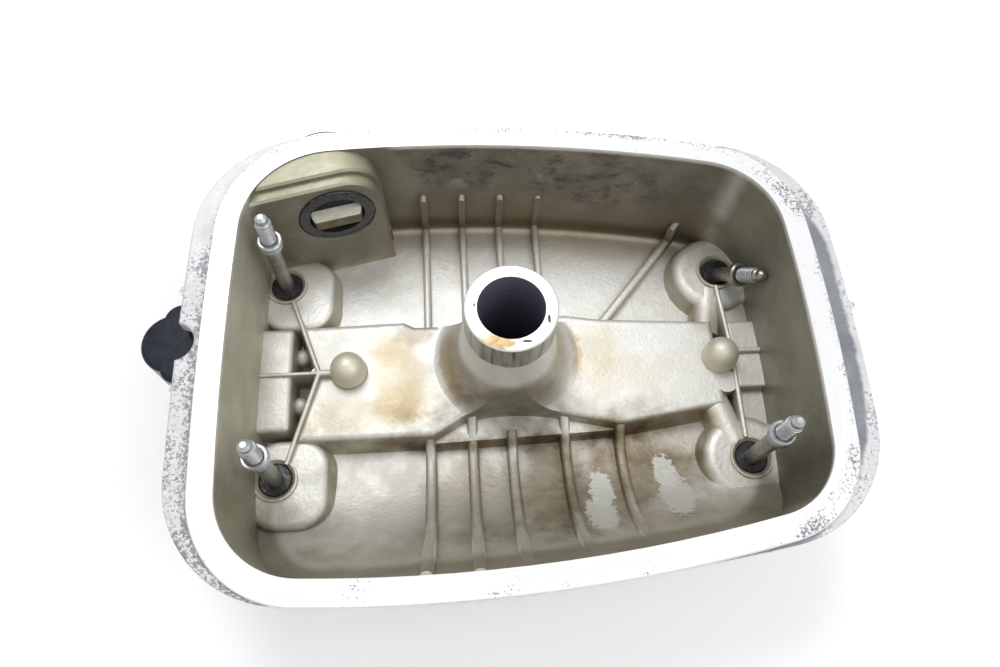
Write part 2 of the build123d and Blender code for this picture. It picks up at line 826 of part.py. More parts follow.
def turned_profile(frame, points):
    """Solid of revolution about a bolt's axis, from (radius, height along the axis) points."""
    flip = -1 if frame.y_dir.Z < 0 else 1
    with BuildPart() as turned:
        with BuildSketch(frame):
            with BuildLine():
                Polyline([(radius, flip * height) for radius, height in points], close=True)
            make_face()
        revolve(axis=axis_of(frame))
    return turned.part


def shoulder_bolt(frame, under_head):
    """Socket head, long shank, collar and threaded end with a pilot."""
    shoulder = under_head + shank_length
    collar_top = shoulder + collar_height
    thread_end = collar_top + thread_length
    profile = turned_profile(
        frame,
        (
            (0, under_head - head_height),
            (head_radius - 0.5, under_head - head_height),
            (head_radius, under_head - head_height + 0.5),
            (head_radius, under_head),
            (shank_radius, under_head),
            (shank_radius, shoulder),
            (collar_radius - 0.4, shoulder),
            (collar_radius, shoulder + 0.4),
            (collar_radius, collar_top - 0.5),
            (collar_radius - 0.5, collar_top),
            (thread_radius + 0.7, collar_top),
            (thread_radius, collar_top - 0.8),
            (thread_radius, thread_end),
            (pilot_radius, thread_end + 0.7),
            (pilot_radius, thread_end + pilot_length - 1.2),
            (pilot_radius - 1.2, thread_end + pilot_length),
            (0, thread_end + pilot_length),
        ),
    )
    axis = axis_of(frame)
    head_end = Vector(*axis.position) + Vector(*axis.direction) * (under_head - head_height)
    with BuildPart() as bolt:
        add(profile)
        with BuildSketch(Plane(origin=head_end, z_dir=axis.direction)):
            RegularPolygon(head_socket / 2, 6, major_radius=False)
        extrude(amount=socket_depth, mode=Mode.SUBTRACT)
    return bolt.part


def bolt_washer(frame, under_head):
    """Plain washer against the bolt's head."""
    top = under_head + washer_thick
    return turned_profile(
        frame,
        ((shank_bore, under_head), (washer_radius, under_head), (washer_radius, top), (shank_bore, top)),
    )


def bolt_grommet(frame):
    """Rubber grommet: a zone of a ball, so that it can tilt in its hole with the bolt."""
    low = -seat_web / 2
    low_radius = sqrt(grommet_radius**2 - low**2)
    high_radius = sqrt(grommet_radius**2 - grommet_height**2)
    flip = -1 if frame.y_dir.Z < 0 else 1
    with BuildPart() as grommet:
        with BuildSketch(frame):
            with BuildLine():
                Polyline(
                    (high_radius, flip * grommet_height),
                    (shank_bore, flip * grommet_height),
                    (shank_bore, flip * low),
                    (low_radius, flip * low),
                )
                ThreePointArc((low_radius, flip * low), (grommet_radius, 0), (high_radius, flip * grommet_height))
            make_face()
        revolve(axis=axis_of(frame))
    return grommet.part


left_far_frame = bolt_frame(left_far, left_far_slope_x, left_far_slope_y)
left_near_frame = bolt_frame(left_near, left_near_slope_x, left_near_slope_y)
right_near_frame = bolt_frame(right_near, right_near_slope_x, right_near_slope_y)
right_far_frame = bolt_frame(right_far, leaning_slope_x, leaning_slope_y)
under_head_leaning = under_head_raised - leaning_out

with BuildPart() as bolt_left_far:
    add(shoulder_bolt(left_far_frame, under_head_raised))
bolt_left_far.part.label = "bolt_left_far"
export_step(bolt_left_far.part, "parts/bolt_left_far.step")

with BuildPart() as bolt_left_near:
    add(shoulder_bolt(left_near_frame, under_head_raised))
bolt_left_near.part.label = "bolt_left_near"
export_step(bolt_left_near.part, "parts/bolt_left_near.step")

with BuildPart() as bolt_right_near:
    add(shoulder_bolt(right_near_frame, under_head_raised))
bolt_right_near.part.label = "bolt_right_near"
export_step(bolt_right_near.part, "parts/bolt_right_near.step")

with BuildPart() as bolt_right_far:
    add(shoulder_bolt(right_far_frame, under_head_leaning))
bolt_right_far.part.label = "bolt_right_far"
export_step(bolt_right_far.part, "parts/bolt_right_far.step")

with BuildPart() as washer_left_far:
    add(bolt_washer(left_far_frame, under_head_raised))
washer_left_far.part.label = "washer_left_far"
export_step(washer_left_far.part, "parts/washer_left_far.step")

with BuildPart() as washer_left_near:
    add(bolt_washer(left_near_frame, under_head_raised))
washer_left_near.part.label = "washer_left_near"
export_step(washer_left_near.part, "parts/washer_left_near.step")

with BuildPart() as washer_right_near:
    add(bolt_washer(right_near_frame, under_head_raised))
washer_right_near.part.label = "washer_right_near"
export_step(washer_right_near.part, "parts/washer_right_near.step")

with BuildPart() as washer_right_far:
    add(bolt_washer(right_far_frame, under_head_leaning))
washer_right_far.part.label = "washer_right_far"
export_step(washer_right_far.part, "parts/washer_right_far.step")

with BuildPart() as grommet_left_far:
    add(bolt_grommet(left_far_frame))
grommet_left_far.part.label = "grommet_left_far"
export_step(grommet_left_far.part, "parts/grommet_left_far.step")

with BuildPart() as grommet_left_near:
    add(bolt_grommet(left_near_frame))
grommet_left_near.part.label = "grommet_left_near"
export_step(grommet_left_near.part, "parts/grommet_left_near.step")

with BuildPart() as grommet_right_near:
    add(bolt_grommet(right_near_frame))
grommet_right_near.part.label = "grommet_right_near"
export_step(grommet_right_near.part, "parts/grommet_right_near.step")

with BuildPart() as grommet_right_far:
    add(bolt_grommet(right_far_frame))
grommet_right_far.part.label = "grommet_right_far"
export_step(grommet_right_far.part, "parts/grommet_right_far.step")


# ================================================================ oil filler plug and its seals
with BuildPart() as filler_plug:
    with BuildSketch(filler_plane(plug_inner_y)):
        Circle(plug_radius)
    extrude(amount=neck_mouth_y - plug_inner_y)
    with BuildSketch(filler_plane(neck_mouth_y)):
        Circle(grip_radius)
    extrude(amount=grip_thick)
    fillet(filler_plug.faces().sort_by(Axis.Y)[-1].edges(), 0.8)
    with BuildSketch(filler_plane(neck_mouth_y + grip_thick)):
        SlotOverall(2 * grip_radius - 4, grip_bar_width)
    extrude(amount=grip_bar_height - 1)
    fillet(filler_plug.faces().sort_by(Axis.Y)[-1].edges(), 0.8)
    with BuildSketch(filler_plane(neck_mouth_y)):
        Circle(plug_radius - plug_wall)
    extrude(amount=plug_inner_y + plug_wall - neck_mouth_y, mode=Mode.SUBTRACT)
    with BuildSketch(filler_plane(o_ring_y)):
        Circle(plug_radius + 1)
        Circle(plug_bore - o_ring_depth, mode=Mode.SUBTRACT)
    extrude(amount=o_ring_width, mode=Mode.SUBTRACT)
filler_plug.part.label = "filler_plug"
export_step(filler_plug.part, "parts/filler_plug.step")

with BuildPart() as plug_o_ring:
    with BuildSketch(filler_plane(o_ring_y)):
        Circle(plug_bore - fit_gap / 2)
        Circle(plug_bore - o_ring_depth, mode=Mode.SUBTRACT)
    extrude(amount=o_ring_width)
plug_o_ring.part.label = "plug_o_ring"
export_step(plug_o_ring.part, "parts/plug_o_ring.step")

key_front = filler_plane(key_front_y)
key_depth = plug_inner_y - key_front_y
with BuildPart() as plug_key:
    with BuildSketch(Plane(key_front.origin - Vector(0, 0, key_height / 2), x_dir=key_front.x_dir, z_dir=(0, 0, 1))):
        with BuildLine():
            Polyline(
                (-key_front_length / 2, 0),
                (key_front_length / 2, 0),
                (key_length / 2, key_taper),
                (key_length / 2, key_depth),
                (-key_length / 2, key_depth),
                (-key_length / 2, key_taper),
                close=True,
            )
        make_face()
    extrude(amount=key_height)
    chamfer(plug_key.faces().sort_by(Axis.Y)[0].edges(), 0.5)
plug_key.part.label = "plug_key"
export_step(plug_key.part, "parts/plug_key.step")

with BuildPart() as filler_seal:
    with BuildSketch(filler_plane(seal_back_y)):
        Circle(seal_outer)
        Circle(plug_bore + 0.2, mode=Mode.SUBTRACT)
    extrude(amount=-seal_thick)
    fillet(filler_seal.faces().sort_by(Axis.Y)[0].edges(), 0.7)
filler_seal.part.label = "filler_seal"
export_step(filler_seal.part, "parts/filler_seal.step")


# ================================================================ plug cover
def hood_outline(inset):
    """Three lobes with a straight side towards the cover."""
    flat_x = hood_flat_x - inset
    with BuildSketch() as outline:
        with Locations((hood_x, hood_y)):
            Circle(hood_radius - inset)
        with Locations((hood_lobe_x, hood_far_lobe_y)):
            Circle(hood_far_lobe - inset)
        with Locations((hood_lobe_x, hood_near_lobe_y)):
            Circle(hood_near_lobe - inset)
        with Locations(((flat_x + hood_lobe_x) / 2, (hood_far_lobe_y + hood_near_lobe_y) / 2)):
            Rectangle(
                flat_x - hood_lobe_x,
                hood_far_lobe_y - hood_near_lobe_y + hood_far_lobe + hood_near_lobe - 2 * inset,
            )
    return outline.sketch


cover_low = rest_level + cover_lift
strip_near_y = channel_near_y + cover_gap
strip_far_y = channel_far_y - cover_gap
strip_left_x = hood_flat_x - hood_wall - 1.0
strip_right_x = channel_right_x - cover_gap
strip_length = strip_right_x - strip_left_x
strip_width = strip_far_y - strip_near_y
strip_centre = ((strip_left_x + strip_right_x) / 2, (strip_near_y + strip_far_y) / 2)
post_top_z = channel_roof - cover_post_gap

with BuildPart() as plug_cover:
    with BuildSketch(Plane.XY.offset(hood_top)):
        add(hood_outline(0.0))
    extrude(amount=cover_low - hood_top)
    fillet(plug_cover.faces().sort_by(Axis.Z)[-1].edges(), 1.6)
    with BuildSketch(Plane.XY.offset(cover_low)):
        with Locations(strip_centre):
            Rectangle(strip_length, strip_width)
    extrude(amount=skin_level - cover_low)
    with BuildSketch(Plane.XY.offset(hood_top - hood_wall)):
        add(hood_outline(hood_wall))
    extrude(amount=cover_low - hood_top, mode=Mode.SUBTRACT)
    with BuildSketch(Plane.XY.offset(cover_low + cover_skin)):
        with Locations((strip_centre[0] - cover_side_wall, strip_centre[1])):
            Rectangle(strip_length, strip_width - 2 * cover_side_wall)
    extrude(amount=skin_level - cover_low, mode=Mode.SUBTRACT)
    with BuildSketch(Plane.XZ):
        with BuildLine():
            Polyline(
                (0, cover_low + 0.5),
                (cover_post_radius, cover_low + 0.5),
                (cover_post_radius, post_top_z - ring_step),
                (cover_post_radius - 1.2, post_top_z),
                (cover_post_radius - 2.8, post_top_z),
                (cover_post_radius - 2.8, post_top_z - ring_step),
                (cover_post_radius - 5.2, post_top_z - ring_step),
                (cover_post_radius - 5.2, post_top_z - 2 * ring_step),
                (cover_post_radius - 7.6, post_top_z - 2 * ring_step),
                (cover_post_radius - 7.6, post_top_z - 3 * ring_step),
                (0, post_top_z - 3 * ring_step),
                close=True,
            )
        make_face()
    revolve(axis=Axis.Z)
plug_cover.part.label = "plug_cover"
export_step(plug_cover.part, "parts/plug_cover.step")
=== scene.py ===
import bpy
import bmesh
import math
from mathutils import Matrix, Vector


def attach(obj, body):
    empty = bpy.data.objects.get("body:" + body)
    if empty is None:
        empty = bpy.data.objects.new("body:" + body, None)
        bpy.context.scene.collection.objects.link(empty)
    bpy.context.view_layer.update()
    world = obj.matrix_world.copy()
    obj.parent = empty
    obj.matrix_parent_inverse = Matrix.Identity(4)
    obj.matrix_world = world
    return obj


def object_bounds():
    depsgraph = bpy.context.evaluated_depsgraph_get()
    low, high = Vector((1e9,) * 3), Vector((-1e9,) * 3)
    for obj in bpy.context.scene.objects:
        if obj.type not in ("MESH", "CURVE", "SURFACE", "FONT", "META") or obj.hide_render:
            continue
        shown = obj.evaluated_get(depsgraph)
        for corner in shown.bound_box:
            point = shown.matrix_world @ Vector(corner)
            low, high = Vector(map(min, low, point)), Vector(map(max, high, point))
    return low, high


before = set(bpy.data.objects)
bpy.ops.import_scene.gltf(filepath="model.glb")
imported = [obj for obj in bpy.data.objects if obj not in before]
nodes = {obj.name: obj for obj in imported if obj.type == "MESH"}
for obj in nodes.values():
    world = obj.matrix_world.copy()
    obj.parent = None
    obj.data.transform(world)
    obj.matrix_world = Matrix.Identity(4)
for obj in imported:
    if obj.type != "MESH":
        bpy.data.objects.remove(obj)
cad_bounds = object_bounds()

# Tables and forms are in millimetres, with the machined rim at z = 0 and the plug tube's axis at
# x = y = 0. Inside the shaders a place is in metres, and so is every limit that it is tested by.
MM = 0.001
scene = bpy.context.scene


# ---------------------------------------------------------------- camera
FOCAL_LENGTH = 27.47
SENSOR_WIDTH = 36.0
CAMERA_PLACE = (-19.24, -120.86, 249.0)
CAMERA_RIGHT = (0.99783, -0.05721, 0.03249)
CAMERA_UP = (0.03905, 0.91241, 0.40741)
CAMERA_BACK = (-0.05296, -0.40526, 0.91267)


def set_camera():
    """Camera above the open side, looking down and towards the filler side."""
    lens = bpy.data.cameras.new("view_camera")
    lens.sensor_width = SENSOR_WIDTH
    lens.lens = FOCAL_LENGTH
    lens.clip_start = 0.01
    lens.clip_end = 20.0
    camera = bpy.data.objects.new("view_camera", lens)
    scene.collection.objects.link(camera)
    turn = Matrix((CAMERA_RIGHT, CAMERA_UP, CAMERA_BACK)).transposed().to_4x4()
    camera.matrix_world = Matrix.Translation(Vector(CAMERA_PLACE) * MM) @ turn
    scene.camera = camera


# ---------------------------------------------------------------- node helpers
class Shader:
    """Small helper that builds one material's node tree."""

    def __init__(self, name):
        self.material = bpy.data.materials.new(name)
        self.material.use_nodes = True
        self.tree = self.material.node_tree
        self.tree.nodes.clear()
        output = self.tree.nodes.new("ShaderNodeOutputMaterial")
        self.surface = self.tree.nodes.new("ShaderNodeBsdfPrincipled")
        self.link(self.surface.outputs["BSDF"], output.inputs["Surface"])
        coords = self.tree.nodes.new("ShaderNodeTexCoord")
        self.place = coords.outputs["Object"]
        self.facing = coords.outputs["Normal"]

    def link(self, source, target):
        self.tree.links.new(source, target)

    def put(self, target, value):
        """Link a socket or set a constant on it."""
        if isinstance(value, bpy.types.NodeSocket):
            self.link(value, target)
        elif isinstance(value, tuple) and len(value) == 3 and target.type == "RGBA":
            target.default_value = (*value, 1.0)
        else:
            target.default_value = value

    def math(self, operation, first, second=0.0):
        node = self.tree.nodes.new("ShaderNodeMath")
        node.operation = operation
        self.put(node.inputs[0], first)
        self.put(node.inputs[1], second)
        return node.outputs[0]

    def times(self, value, *others):
        for other in others:
            value = self.math("MULTIPLY", value, other)
        return value

    def plus(self, value, *others):
        for other in others:
            value = self.math("ADD", value, other)
        return value

    def length(self, first, second):
        return self.math("SQRT", self.plus(self.times(first, first), self.times(second, second)))

    def wobbled(self, value, noise, amount):
        """A value that a noise shifts by up to half the amount either way."""
        return self.plus(value, self.times(self.math("SUBTRACT", noise, 0.5), amount))

    def axes(self, vector):
        node = self.tree.nodes.new("ShaderNodeSeparateXYZ")
        self.link(vector, node.inputs[0])
        return node.outputs[0], node.outputs[1], node.outputs[2]

    def joined(self, first, second, third):
        node = self.tree.nodes.new("ShaderNodeCombineXYZ")
        for target, value in zip(node.inputs, (first, second, third)):
            self.put(target, value)
        return node.outputs[0]

    def stretched(self, scale, shift=(0.0, 0.0, 0.0)):
        node = self.tree.nodes.new("ShaderNodeMapping")
        self.link(self.place, node.inputs["Vector"])
        node.inputs["Scale"].default_value = scale
        node.inputs["Location"].default_value = shift
        return node.outputs[0]

    def noise(self, scale, detail, rough, vector=None, distortion=0.0):
        node = self.tree.nodes.new("ShaderNodeTexNoise")
        self.link(vector or self.place, node.inputs["Vector"])
        node.inputs["Scale"].default_value = scale
        node.inputs["Detail"].default_value = detail
        node.inputs["Roughness"].default_value = rough
        node.inputs["Distortion"].default_value = distortion
        return node.outputs["Fac"]

    def cells(self, scale):
        node = self.tree.nodes.new("ShaderNodeTexVoronoi")
        self.link(self.place, node.inputs["Vector"])
        node.inputs["Scale"].default_value = scale
        return node.outputs["Distance"]

    def between(self, value, start, end):
        """0 at start and before it, 1 at end and past it, smooth in between."""
        node = self.tree.nodes.new("ShaderNodeMapRange")
        node.interpolation_type = "SMOOTHSTEP"
        self.put(node.inputs["Value"], value)
        node.inputs["From Min"].default_value = min(start, end)
        node.inputs["From Max"].default_value = max(start, end)
        node.inputs["To Min"].default_value = 0.0 if start < end else 1.0
        node.inputs["To Max"].default_value = 1.0 if start < end else 0.0
        return node.outputs["Result"]

    def vector_math(self, operation, first, second=None):
        node = self.tree.nodes.new("ShaderNodeVectorMath")
        node.operation = operation
        self.link(first, node.inputs[0])
        if second is not None:
            node.inputs[1].default_value = second
        return node.outputs

    def near(self, centre, size, soft=0.5, wobble=None, amount=0.35):
        """1 inside an ellipsoid given in millimetres, fading out at its edge."""
        offset = self.vector_math("SUBTRACT", self.place, [c * MM for c in centre])[0]
        scaled = self.vector_math("DIVIDE", offset, [s * MM for s in size])[0]
        distance = self.vector_math("LENGTH", scaled)["Value"]
        if wobble is not None:
            distance = self.wobbled(distance, wobble, 2 * amount)
        return self.between(distance, 1.0 + soft / 2, 1.0 - soft / 2)

    def blend(self, fac, first, second, mode="MIX"):
        node = self.tree.nodes.new("ShaderNodeMix")
        node.data_type = "RGBA"
        node.blend_type = mode
        self.put(node.inputs[0], fac)
        self.put(node.inputs[6], first)
        self.put(node.inputs[7], second)
        return node.outputs[2]

    def level(self, fac, first, second):
        node = self.tree.nodes.new("ShaderNodeMix")
        node.data_type = "FLOAT"
        self.put(node.inputs[0], fac)
        self.put(node.inputs[2], first)
        self.put(node.inputs[3], second)
        return node.outputs[0]

    def ramp(self, fac, *stops):
        node = self.tree.nodes.new("ShaderNodeValToRGB")
        self.link(fac, node.inputs[0])
        ramp = node.color_ramp
        while len(ramp.elements) < len(stops):
            ramp.elements.new(0.5)
        for element, (position, colour) in zip(ramp.elements, stops):
            element.position = position
            element.color = (*colour, 1.0)
        return node.outputs[0]

    def bump(self, height, distance, strength):
        node = self.tree.nodes.new("ShaderNodeBump")
        node.inputs["Distance"].default_value = distance
        self.put(node.inputs["Strength"], strength)
        self.link(height, node.inputs["Height"])
        return node.outputs[0]

    def finish(self, colour, rough, metal=0.0, normal=None):
        self.put(self.surface.inputs["Base Color"], colour)
        self.put(self.surface.inputs["Roughness"], rough)
        self.put(self.surface.inputs["Metallic"], metal)
        if normal is not None:
            self.link(normal, self.surface.inputs["Normal"])
        return self.material


def dress(node, material):
    """Give a CAD node its material."""
    obj = nodes[node]
    obj.data.materials.clear()
    obj.data.materials.append(material)


# ---------------------------------------------------------------- sizes shared with the CAD part
# each bolt: its place in plan, its lean per unit of height, and its reach from pivot to tip
BOLTS = {
    "left_far": ((-93.4, 38.15), (0.017, 0.048), 54.35),
    "left_near": ((-93.4, -47.15), (0.027, -0.008), 54.35),
    "right_near": ((96.6, -47.15), (-0.012, -0.016), 54.35),
    "right_far": ((96.6, 38.15), (0.35, -0.58), 34.65),
}
BOLT_PIVOT = -52.25

# centre and half sizes of the golden part of each ball post
BALL_POSTS = (((-65.4, -4, -42), (8.6, 8.6, 9)), ((90.2, -4, -42), (8.6, 8.6, 11)))


def side_circle(start, end, bow):
    """Centre and radius of the circle through a bowed side of the rim."""
    chord = Vector(end) - Vector(start)
    half = chord.length / 2
    radius = (half * half + bow * bow) / (2 * bow)
    middle = (Vector(start) + Vector(end)) / 2
    inward = Vector((chord.y, -chord.x)).normalized()
    return middle + inward * (radius - bow), radius


RIM_SIDES = {
    "far": side_circle((-99.4, 69.0), (106.6, 56.5), 9.5),
    "right": side_circle((106.6, 56.5), (105.1, -74.5), 3.5),
    "near": side_circle((105.1, -74.5), (-99.4, -88.5), 9.0),
    "left": side_circle((-99.4, -88.5), (-99.4, 69.0), 2.8),
}
NEAR_CORNER = 28.5
FAR_CORNER = 33.5


def rim_distance(s, x, y):
    """Distance outside the cavity's edge, in millimetres, with rounded corners."""
    flat = s.joined(s.math("DIVIDE", x, MM), s.math("DIVIDE", y, MM), 0.0)
    corner = s.level(s.between(y, -0.02, 0.02), NEAR_CORNER, FAR_CORNER)

    def past(side):
        centre, radius = RIM_SIDES[side]
        reach = s.vector_math("DISTANCE", flat, (centre.x, centre.y, 0.0))["Value"]
        return s.math("SUBTRACT", reach, radius)

    def past_pair(first, second):
        outside = s.math("MAXIMUM", past(first), past(second))
        return s.math("MAXIMUM", s.plus(outside, corner), 0.0)

    across = past_pair("left", "right")
    along = past_pair("far", "near")
    return s.math("SUBTRACT", s.length(across, along), corner)


# ---------------------------------------------------------------- where the oil left its marks, and where shade is painted
OCHRE = (0.89, 0.79, 0.61)
AMBER = (0.68, 0.54, 0.36)
BROWN = (0.56, 0.47, 0.345)
DARK = (0.42, 0.33, 0.22)
# neutral greys, used for painted shade
SHADE_GREY = (0.58, 0.57, 0.54)
FLARE_SHADE_GREY = (0.50, 0.49, 0.46)
BAND_SHADE_GREY = (0.76, 0.75, 0.72)

# centre, half sizes, strength and tint of each mark on the floor, band and foot of the walls: oil
# stains, and grey patches that are painted shade
STAINS_AND_SHADE = (
    # painted shade: grey darkening of the near floor, the flare, the band's left part and the left
    # end
    ((-5, -63, -58), (84, 36, 20), 0.85, SHADE_GREY),
    ((-86, -72, -58), (22, 16, 14), 0.50, SHADE_GREY),
    ((2, -25, -45), (27, 13, 13), 1.0, FLARE_SHADE_GREY),
    ((-18, -8, -44), (13, 16, 11), 0.22, SHADE_GREY),
    ((-56, -5, -48), (38, 26, 9), 0.60, BAND_SHADE_GREY),
    ((-93, -4, -56), (14, 34, 14), 0.35, SHADE_GREY),
    # oil stains
    ((-46, -6, -48), (10, 17, 7), 0.85, OCHRE),
    ((-42, -18, -48), (13, 8, 6), 0.70, OCHRE),
    ((-62, -23, -48), (24, 7, 6), 0.55, OCHRE),
    ((-50, 6, -48), (9, 8, 6), 0.45, OCHRE),
    ((38, -2, -48), (9, 15, 6), 0.55, OCHRE),
    ((52, -8, -48), (18, 8, 6), 0.40, OCHRE),
    ((-37, 12, -49), (9, 5, 5), 0.60, BROWN),
    # dark brown along the foot of the band's near side: oil in the crease, deepened with painted
    # crease shade
    ((-42, -32, -55), (22, 4, 6), 0.75, DARK),
    ((-2, -35, -57), (38, 3.5, 4.5), 0.80, DARK),
    ((46, -32, -56), (16, 5, 6), 0.85, DARK),
    ((70, -28, -56), (16, 6, 7), 0.75, DARK),
    ((-12, -60, -54), (22, 24, 14), 0.50, BROWN),
    ((17, -58, -54), (14, 26, 14), 0.85, BROWN),
    ((24, -62, -52), (10, 24, 14), 0.45, DARK),
    ((50, -50, -56), (26, 22, 12), 0.95, BROWN),
    ((62, -38, -58), (26, 9, 6), 0.60, DARK),
    ((62, -72, -48), (34, 12, 14), 0.40, BROWN),
    ((-10, 68, -60), (46, 9, 6), 0.30, BROWN),
    ((44, 62, -60), (34, 14, 6), 0.20, BROWN),
    ((62, 62, -60), (28, 10, 6), 0.25, DARK),
    ((80, -31, -51), (7, 8, 6), 0.60, OCHRE),
    ((86, 14, -54), (6, 8, 8), 0.50, BROWN),
    ((-86, -4, -60), (7, 18, 6), 0.35, BROWN),
    ((100, -6, -56), (12, 34, 8), 0.30, BROWN),
)

# centre, half sizes, inner and outer radius and strength of each amber arc round the flare
ARCS = (
    ((-25, -3, -45), (8, 15, 9), 23.2, 27.2, 0.75),
    ((30, 2, -46), (6, 12, 8), 28.5, 31.2, 0.65),
    ((-20, -16, -45), (8, 6, 8), 25.0, 29.0, 0.50),
)

# centre and half sizes of the pale patches rubbed into the stain on the near floor
RUBBED_PATCHES = (
    ((35, -57, -54), (4.6, 9, 12)),
    ((33, -70, -50), (6.0, 11, 14)),
    ((62, -50, -55), (4.6, 8, 12)),
    ((64, -62, -53), (6.6, 13, 14)),
)

# centre and half sizes of the small dark marks on the tube's mouth
MOUTH_MARKS = (
    ((4.8, -13.6, 0), (1.9, 0.45, 1)),
    ((13.4, -5.6, 0), (0.5, 1.8, 1)),
    ((-13.6, 1.5, 0), (0.35, 0.9, 1)),
)
SEAT_RING_LEVEL = -49
SEAT_RING_SIZE = (9.4, 9.4, 2.2)


# ---------------------------------------------------------------- oily cast aluminium
class CastingShader(Shader):
    """The casting's node tree, with the values that its layers share."""

    def __init__(self):
        super().__init__("cast_aluminium")
        self.x, self.y, self.z = self.axes(self.place)
        self.nx, self.ny, self.nz = self.axes(self.facing)
        self.large = self.noise(14.0, 3.0, 0.5)
        self.middle = self.noise(60.0, 4.0, 0.6)
        self.fine = self.noise(260.0, 4.0, 0.6)
        self.away = rim_distance(self, self.x, self.y)
        self.right_side = self.between(self.x, 0.060, 0.090)

        # sealant specks come where a noise of grains and clouds is dense enough
        self.grains = self.noise(900.0, 6.0, 0.75)
        self.clouds = self.noise(60.0, 4.0, 0.6)
        self.density = self.plus(self.times(self.grains, 0.62), self.times(self.clouds, 0.38))
        self.sealant = self.ramp(
            self.grains, (0.35, (0.060, 0.058, 0.070)), (0.65, (0.15, 0.148, 0.165))
        )


def bare_casting(s):
    """Pale cast skin, slightly uneven."""
    skin = s.ramp(
        s.large,
        (0.30, (0.66, 0.65, 0.60)),
        (0.50, (0.74, 0.735, 0.69)),
        (0.70, (0.80, 0.80, 0.775)),
    )
    return s.blend(s.between(s.fine, 0.40, 0.80), skin, (0.84, 0.835, 0.80))


def oil_and_shade_on_steep_sides(s, colour):
    """Brown oil on the steep sides of the ribs, pads and band, darkened further as painted shade.
    """
    steep = s.times(s.between(s.nz, 0.88, 0.35), s.between(s.z, -0.028, -0.036))
    steep_oil_and_shade = s.ramp(s.middle, (0.30, (0.48, 0.42, 0.32)), (0.70, (0.66, 0.62, 0.52)))
    return s.blend(s.times(steep, 0.85), colour, steep_oil_and_shade, "MULTIPLY")


def wall_tones_and_shade(s, colour):
    """The inner walls: painted shade makes the far and right sides dark, the far one oily at its
    foot, and the left side is olive.
    """
    inside = s.times(s.between(s.nz, 0.93, 0.55), s.between(s.z, -0.0005, -0.0030))
    far = s.times(s.between(s.ny, -0.20, -0.60), s.between(s.y, 0.052, 0.060))
    right = s.times(s.between(s.nx, -0.25, -0.70), s.between(s.x, 0.094, 0.100))
    left = s.times(s.between(s.nx, 0.35, 0.90), s.between(s.x, -0.088, -0.094))
    near = s.times(s.between(s.ny, 0.35, 0.80), s.between(s.y, -0.060, -0.072))
    # painted shade: the far and right walls get darker tones than the left and near ones
    far_wall_shade = s.ramp(
        s.middle,
        (0.30, (0.150, 0.130, 0.098)),
        (0.55, (0.205, 0.182, 0.145)),
        (0.75, (0.26, 0.235, 0.19)),
    )
    foot = s.between(s.wobbled(s.z, s.middle, 0.016), -0.024, -0.050)
    far_wall_shade = s.blend(s.times(foot, 0.7), far_wall_shade, (0.23, 0.185, 0.125))
    right_wall_shade = s.ramp(s.middle, (0.30, (0.20, 0.19, 0.145)), (0.70, (0.27, 0.26, 0.205)))
    left_tone = s.ramp(s.middle, (0.30, (0.47, 0.45, 0.35)), (0.70, (0.58, 0.565, 0.46)))
    near_tone = s.ramp(s.middle, (0.30, (0.42, 0.40, 0.33)), (0.70, (0.56, 0.54, 0.46)))
    for mask, tone in ((left, left_tone), (near, near_tone), (right, right_wall_shade), (far, far_wall_shade)):
        colour = s.blend(s.times(inside, mask), colour, tone)

    # smudges of old sealant along the upper far wall
    smudged = s.math(
        "MAXIMUM",
        s.near((6, 74, -14), (72, 14, 15), 0.7, s.middle, 0.5),
        s.near((46, 72, -26), (24, 14, 13), 0.6, s.middle, 0.6),
    )
    smudged = s.times(s.times(inside, far), smudged)
    dark_spots = s.noise(68.0, 7.0, 0.74, s.stretched((0.8, 1.0, 1.2)), 0.5)
    pale_spots = s.noise(120.0, 6.0, 0.7, s.stretched((0.7, 1.0, 1.3), (0.3, 0, 0)), 0.7)
    dark = s.times(smudged, s.between(dark_spots, 0.47, 0.60), 0.8)
    pale = s.times(smudged, s.between(pale_spots, 0.55, 0.70), 0.5)
    colour = s.blend(dark, colour, (0.052, 0.050, 0.058))
    return s.blend(pale, colour, (0.40, 0.39, 0.38))


def oil_stains_and_shade(s, colour):
    """Baked oil: ochre on the band, brown on the near floor and at the far wall's foot; also grey
    patches of painted shade.
    """
    uneven = s.between(s.fine, 0.30, 0.70)
    # oil stains, and grey patches of painted shade
    for centre, size, strength, tint in STAINS_AND_SHADE:
        patch = s.near(centre, size, 0.9, s.middle, 0.8)
        shade = s.level(uneven, 0.75 * strength, strength)
        colour = s.blend(s.times(patch, shade), colour, tint, "MULTIPLY")

    # amber arcs left by oil standing round the flare
    wavy = s.wobbled(s.length(s.x, s.y), s.fine, 0.0045)
    on_band = s.times(s.between(s.z, -0.0500, -0.0475), s.between(s.z, -0.036, -0.040))
    for centre, size, inner, outer, strength in ARCS:
        rising = s.between(wavy, inner * MM - 0.0014, inner * MM + 0.0008)
        falling = s.between(wavy, outer * MM + 0.0016, outer * MM)
        arc = s.times(rising, falling, on_band, s.near(centre, size, 0.8, s.middle, 0.4))
        colour = s.blend(s.times(arc, strength), colour, AMBER, "MULTIPLY")

    for (seat_x, seat_y), _, _ in BOLTS.values():
        ring = s.near((seat_x, seat_y, SEAT_RING_LEVEL), SEAT_RING_SIZE, 0.16)
        colour = s.blend(s.times(ring, 0.55), colour, (0.78, 0.70, 0.52), "MULTIPLY")

    ragged = s.noise(520.0, 4.0, 0.7)
    for centre, size in RUBBED_PATCHES:
        rubbed = s.near(centre, size, 0.14, ragged, 0.75)
        colour = s.blend(s.times(rubbed, 0.85), colour, (0.66, 0.665, 0.62))
    return colour


